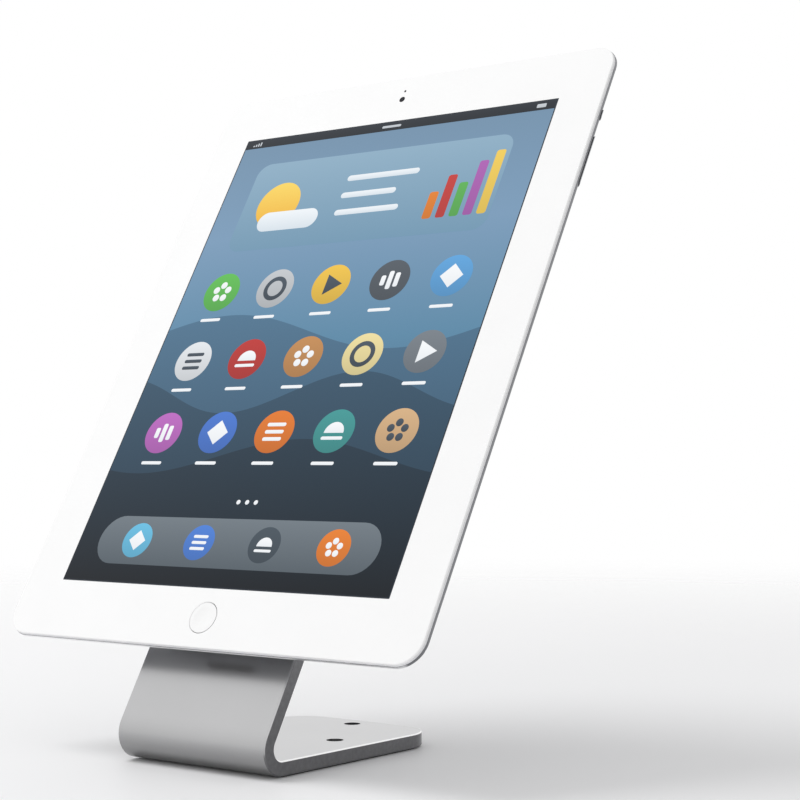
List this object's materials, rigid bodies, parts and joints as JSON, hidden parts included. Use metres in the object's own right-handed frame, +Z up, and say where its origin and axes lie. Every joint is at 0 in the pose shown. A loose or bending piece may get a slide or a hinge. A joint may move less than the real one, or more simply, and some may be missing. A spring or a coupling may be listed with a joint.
{
  "type": "tablet kiosk stand",
  "caption": "Tablet on a bent-plate table stand, with a swivel for upright or sideways use, a key lock behind the hub, edge keys and a foot drilled for table screws.",
  "frame": {"origin": "centre of the table screws' circle, on the underside of the foot's mat", "axes": "+X to the viewer's right, the screen faces -Y and leans back, +Z up"},
  "size_m": [0.186, 0.1263, 0.2489],
  "materials": {
    "stand_aluminium": "satin, fine grain",
    "mat_rubber": "matt",
    "nylon": "matt",
    "plated_steel": "satin",
    "black_steel": "oiled black",
    "lock_chrome": "polished",
    "foam_tape": "matt foam",
    "tablet_aluminium": "blasted and anodised",
    "white_glass": "polished, painted white behind",
    "rim_gasket": "matt",
    "display_panel": "lit screen behind polished glass",
    "battery_pouch": "matt foil",
    "circuit_board": "solder mask",
    "shield_steel": "satin",
    "black_plastic": "satin",
    "socket_steel": "satin",
    "white_plastic": "gloss",
    "lens_glass": "polished",
    "switch_film": "matt film"
  },
  "bodies": {
    "stand": {"stand_plate": "stand_aluminium", "foot_mat": "mat_rubber", "spindle_bush": "nylon", "lock_cap": "stand_aluminium", "lock_barrel": "lock_chrome", "lock_nut": "plated_steel", "keeper_bracket": "plated_steel", "keeper_screws": "black_steel", "cap_dowels": "plated_steel"},
    "tablet": {"swivel_disc": "plated_steel", "spindle": "plated_steel", "spindle_screws": "black_steel", "stop_pin": "plated_steel", "thrust_washer": "nylon", "disc_spring": "black_steel", "retaining_ring": "black_steel", "adhesive_pad": "foam_tape", "tablet_shell": "tablet_aluminium", "cover_glass": "white_glass", "glass_gasket": "rim_gasket", "display_module": "display_panel", "battery_cells": "battery_pouch", "logic_board": "circuit_board", "shield_cans": "shield_steel", "speaker_module": "black_plastic", "charging_socket": "socket_steel", "headphone_socket": "white_plastic", "front_camera": "black_plastic", "light_sensor": "black_plastic", "rear_camera": "black_plastic", "rear_camera_window": "lens_glass", "home_switch": "switch_film", "edge_key_switches": "switch_film"},
    "lock": {"lock_plug": "lock_chrome", "lock_cam": "plated_steel", "cam_screw": "black_steel"},
    "home_button": {"home_button": "white_plastic"},
    "sleep_button": {"sleep_button": "tablet_aluminium"},
    "volume_rocker": {"volume_rocker": "tablet_aluminium"},
    "side_switch": {"side_switch": "tablet_aluminium"}
  },
  "joints": [
    {"name": "tablet_turn", "type": "hinge", "parent": "stand", "child": "tablet", "pos_m": [0, 0.0095, 0.1382], "axis": [0, 0.866, -0.5], "range_deg": [0, 90]},
    {"name": "lock_turn", "type": "hinge", "parent": "stand", "child": "lock", "pos_m": [0, 0.0095, 0.1382], "axis": [0, 0.866, -0.5], "range_deg": [0, 90]},
    {"name": "home_push", "type": "slide", "parent": "tablet", "child": "home_button", "axis": [0, 0.866, -0.5], "range_m": [0, 0.0004], "stiffness_N_per_m": 900, "springref_m": -0.0006},
    {"name": "sleep_push", "type": "slide", "parent": "tablet", "child": "sleep_button", "axis": [0, -0.5, -0.866], "range_m": [0, 0.0004], "stiffness_N_per_m": 900, "springref_m": -0.0006},
    {"name": "volume_rock", "type": "hinge", "parent": "tablet", "child": "volume_rocker", "pos_m": [0.0883, 0.0366, 0.20454], "axis": [0, -0.866, 0.5], "range_deg": [-1.5, 1.5], "stiffness_Nm_per_rad": 0.3},
    {"name": "switch_slide", "type": "slide", "parent": "tablet", "child": "side_switch", "axis": [0, -0.5, -0.866], "range_m": [0, 0.0016]}
  ]
}
